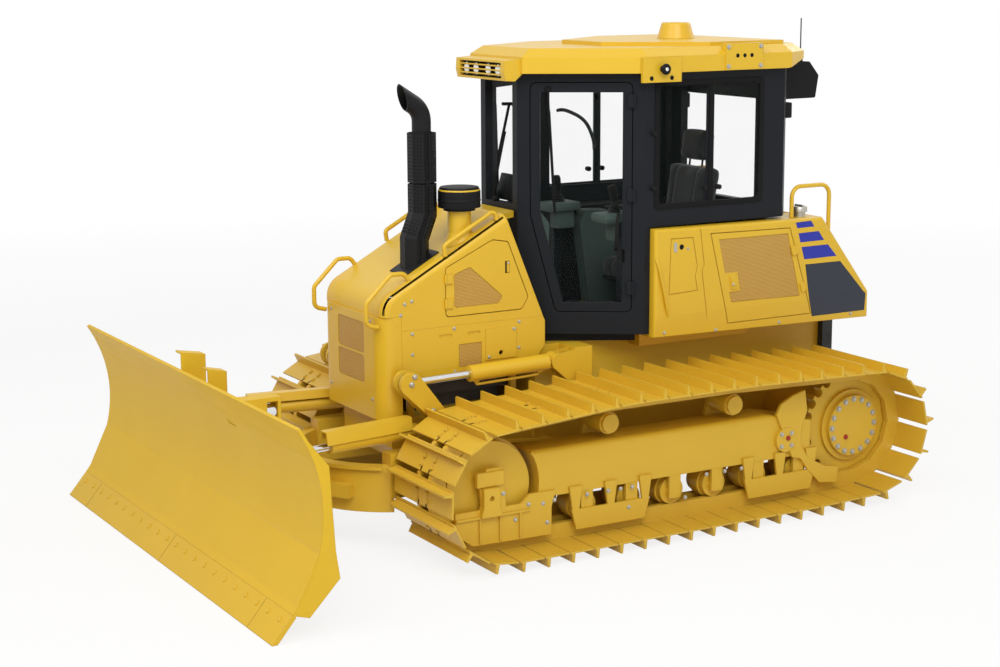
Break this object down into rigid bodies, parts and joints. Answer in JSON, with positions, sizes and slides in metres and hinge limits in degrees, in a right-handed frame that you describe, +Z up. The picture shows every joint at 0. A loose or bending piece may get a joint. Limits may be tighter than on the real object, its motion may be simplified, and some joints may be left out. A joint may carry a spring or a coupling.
{
  "type": "crawler dozer",
  "caption": "Crawler dozer with a power-angle-tilt straight blade on a C-frame, sloped hood, faceted cab and wide-shoe tracks; blade lifts, angles and tilts, doors open.",
  "frame": {"origin": "centre of the bounding box on the ground under the track lugs", "axes": "+X forward to the blade, +Y to the operator's left, +Z up"},
  "size_m": [4.8593, 3.35, 3.09],
  "materials": {
    "yellow_paint": "glossy industrial paint with light wear",
    "track_paint": "painted steel, worn on the running faces",
    "dark_paint": "satin charcoal paint",
    "black_trim": "moulded black plastic",
    "black_metal": "heat-proof black paint",
    "cast_block": "rough casting",
    "core_grey": "finned core",
    "rod_chrome": "ground and plated",
    "edge_steel": "painted wear steel",
    "seat_cloth": "woven cloth",
    "pane": "tinted safety glass",
    "lamp_lens": "clear lens"
  },
  "bodies": {
    "chassis": {"main_frame": "yellow_paint", "engine_block": "cast_block", "radiator": "core_grey", "track_frame_left": "yellow_paint", "track_frame_right": "yellow_paint", "track_left": "track_paint", "track_right": "track_paint", "rollers_left": "yellow_paint", "rollers_right": "yellow_paint", "final_drive_left": "yellow_paint", "final_drive_right": "yellow_paint", "hood_shell": "yellow_paint", "front_mask": "yellow_paint", "side_panels": "yellow_paint", "exhaust_pipe": "black_metal", "exhaust_guard": "black_metal", "precleaner": "black_trim", "hand_rails": "yellow_paint", "cab_frame": "dark_paint", "cab_roof": "yellow_paint", "cab_glass": "pane", "cab_floor": "dark_paint", "operator_seat": "seat_cloth", "consoles": "black_trim", "roof_lamps": "lamp_lens", "roof_dome": "yellow_paint", "air_unit": "black_trim", "antenna": "black_trim", "rear_tanks": "yellow_paint", "drawbar": "yellow_paint"},
    "c_frame": {"c_frame": "yellow_paint"},
    "swivel": {"blade_swivel": "yellow_paint"},
    "blade": {"blade": "yellow_paint", "cutting_edge": "edge_steel"},
    "tilt_barrel": {"tilt_barrel": "yellow_paint"},
    "tilt_rod": {"tilt_rod": "rod_chrome"},
    "rear_grille": {"rear_grille": "yellow_paint"},
    "lift_barrel_left": {"lift_barrel_left": "yellow_paint"},
    "lift_rod_left": {"lift_rod_left": "rod_chrome"},
    "angle_yoke_left": {"angle_yoke_left": "yellow_paint"},
    "angle_barrel_left": {"angle_barrel_left": "yellow_paint"},
    "angle_rod_left": {"angle_rod_left": "rod_chrome"},
    "engine_door_left": {"engine_door_left": "yellow_paint"},
    "rear_door_left": {"rear_door_left": "yellow_paint"},
    "cab_door_left": {"cab_door_left": "dark_paint", "door_glass_left": "pane"},
    "lift_barrel_right": {"lift_barrel_right": "yellow_paint"},
    "lift_rod_right": {"lift_rod_right": "rod_chrome"},
    "angle_yoke_right": {"angle_yoke_right": "yellow_paint"},
    "angle_barrel_right": {"angle_barrel_right": "yellow_paint"},
    "angle_rod_right": {"angle_rod_right": "rod_chrome"},
    "engine_door_right": {"engine_door_right": "yellow_paint"},
    "rear_door_right": {"rear_door_right": "yellow_paint"},
    "cab_door_right": {"cab_door_right": "dark_paint", "door_glass_right": "pane"}
  },
  "joints": [
    {"name": "blade_lift", "type": "hinge", "parent": "chassis", "child": "c_frame", "pos_m": [0, 0, 0.42], "axis": [0, -1, 0], "range_deg": [-12.3, 23.6]},
    {"name": "blade_angle", "type": "hinge", "parent": "c_frame", "child": "swivel", "pos_m": [1.72, 0, 0.45], "axis": [0, 0, 1], "range_deg": [-25, 25]},
    {"name": "blade_tilt", "type": "hinge", "parent": "swivel", "child": "blade", "pos_m": [1.935, 0, 0.45], "axis": [1, 0, 0], "range_deg": [-7.5, 7.5]},
    {"name": "lift_cylinder_swing_left", "type": "hinge", "parent": "chassis", "child": "lift_barrel_left", "pos_m": [-0.011, 0.51, 1.032], "axis": [0, -1, 0], "range_deg": [-13.59, 25.62]},
    {"name": "lift_cylinder_stroke_left", "type": "slide", "parent": "lift_barrel_left", "child": "lift_rod_left", "axis": [0.9997, 0, -0.0252], "range_m": [-0.25085, 0.1317]},
    {"name": "angle_yoke_turn_left", "type": "hinge", "parent": "c_frame", "child": "angle_yoke_left", "pos_m": [0.93, 0.465, 0.7], "axis": [0, 0, 1], "range_deg": [-7.04, 7.04]},
    {"name": "angle_cylinder_pitch_left", "type": "hinge", "parent": "angle_yoke_left", "child": "angle_barrel_left", "pos_m": [0.93, 0.465, 0.7], "axis": [0.1478, -0.989, 0], "range_deg": [-5.15, 5.15]},
    {"name": "angle_cylinder_stroke_left", "type": "slide", "parent": "angle_barrel_left", "child": "angle_rod_left", "axis": [0.989, 0.1478, 0], "range_m": [-0.25155, 0.25155]},
    {"name": "lift_cylinder_swing_right", "type": "hinge", "parent": "chassis", "child": "lift_barrel_right", "pos_m": [-0.011, -0.51, 1.032], "axis": [0, -1, 0], "range_deg": [-13.59, 25.62]},
    {"name": "lift_cylinder_stroke_right", "type": "slide", "parent": "lift_barrel_right", "child": "lift_rod_right", "axis": [0.9997, 0, -0.0252], "range_m": [-0.25085, 0.1317]},
    {"name": "angle_yoke_turn_right", "type": "hinge", "parent": "c_frame", "child": "angle_yoke_right", "pos_m": [0.93, -0.465, 0.7], "axis": [0, 0, 1], "range_deg": [-7.04, 7.04]},
    {"name": "angle_cylinder_pitch_right", "type": "hinge", "parent": "angle_yoke_right", "child": "angle_barrel_right", "pos_m": [0.93, -0.465, 0.7], "axis": [-0.1478, -0.989, 0], "range_deg": [-5.15, 5.15]},
    {"name": "angle_cylinder_stroke_right", "type": "slide", "parent": "angle_barrel_right", "child": "angle_rod_right", "axis": [0.989, -0.1478, 0], "range_m": [-0.25155, 0.25155]},
    {"name": "tilt_cylinder_swing", "type": "hinge", "parent": "swivel", "child": "tilt_barrel", "pos_m": [1.935, -0.12, 0.8], "axis": [1, 0, 0], "range_deg": [-7.62, 7.62]},
    {"name": "tilt_cylinder_stroke", "type": "slide", "parent": "tilt_barrel", "child": "tilt_rod", "axis": [0, 0.9734, 0.229], "range_m": [-0.05012, 0.05012]},
    {"name": "cab_door_swing_left", "type": "hinge", "parent": "chassis", "child": "cab_door_left", "pos_m": [-0.49691, 0.64403, 2], "axis": [0, 0, 1], "range_deg": [0, 120]},
    {"name": "engine_door_swing_left", "type": "hinge", "parent": "chassis", "child": "engine_door_left", "pos_m": [0.702, 0.415, 1.5], "axis": [0, 0, 1], "range_deg": [-110, 0]},
    {"name": "rear_door_swing_left", "type": "hinge", "parent": "chassis", "child": "rear_door_left", "pos_m": [-1.765, 0.729, 1.4725], "axis": [-0.3148, 0, -0.9492], "range_deg": [-100, 0]},
    {"name": "cab_door_swing_right", "type": "hinge", "parent": "chassis", "child": "cab_door_right", "pos_m": [-0.49691, -0.64403, 2], "axis": [0, 0, -1], "range_deg": [0, 120]},
    {"name": "engine_door_swing_right", "type": "hinge", "parent": "chassis", "child": "engine_door_right", "pos_m": [0.702, -0.415, 1.5], "axis": [0, 0, -1], "range_deg": [-110, 0]},
    {"name": "rear_door_swing_right", "type": "hinge", "parent": "chassis", "child": "rear_door_right", "pos_m": [-1.765, -0.729, 1.4725], "axis": [0.3148, 0, 0.9492], "range_deg": [-100, 0]},
    {"name": "rear_grille_swing", "type": "hinge", "parent": "chassis", "child": "rear_grille", "pos_m": [-1.94241, 0, 1.78584], "axis": [0, 1, 0], "range_deg": [0, 75]}
  ],
  "couplings": [
    {"joint": "lift_cylinder_swing_left", "follows": "blade_lift", "ratio": 1.0644},
    {"joint": "lift_cylinder_stroke_left", "follows": "blade_lift", "m_per_rad": -0.60415},
    {"joint": "angle_yoke_turn_left", "follows": "blade_angle", "ratio": 0.26156},
    {"joint": "angle_cylinder_pitch_left", "follows": "blade_tilt", "ratio": 0.61995},
    {"joint": "angle_cylinder_stroke_left", "follows": "blade_angle", "m_per_rad": -0.57192},
    {"joint": "lift_cylinder_swing_right", "follows": "blade_lift", "ratio": 1.0644},
    {"joint": "lift_cylinder_stroke_right", "follows": "blade_lift", "m_per_rad": -0.60415},
    {"joint": "angle_yoke_turn_right", "follows": "blade_angle", "ratio": 0.26156},
    {"joint": "angle_cylinder_pitch_right", "follows": "blade_tilt", "ratio": -0.61995},
    {"joint": "angle_cylinder_stroke_right", "follows": "blade_angle", "m_per_rad": 0.57192},
    {"joint": "tilt_cylinder_swing", "follows": "blade_tilt", "ratio": 0.94899},
    {"joint": "tilt_cylinder_stroke", "follows": "blade_tilt", "m_per_rad": -0.36761}
  ]
}
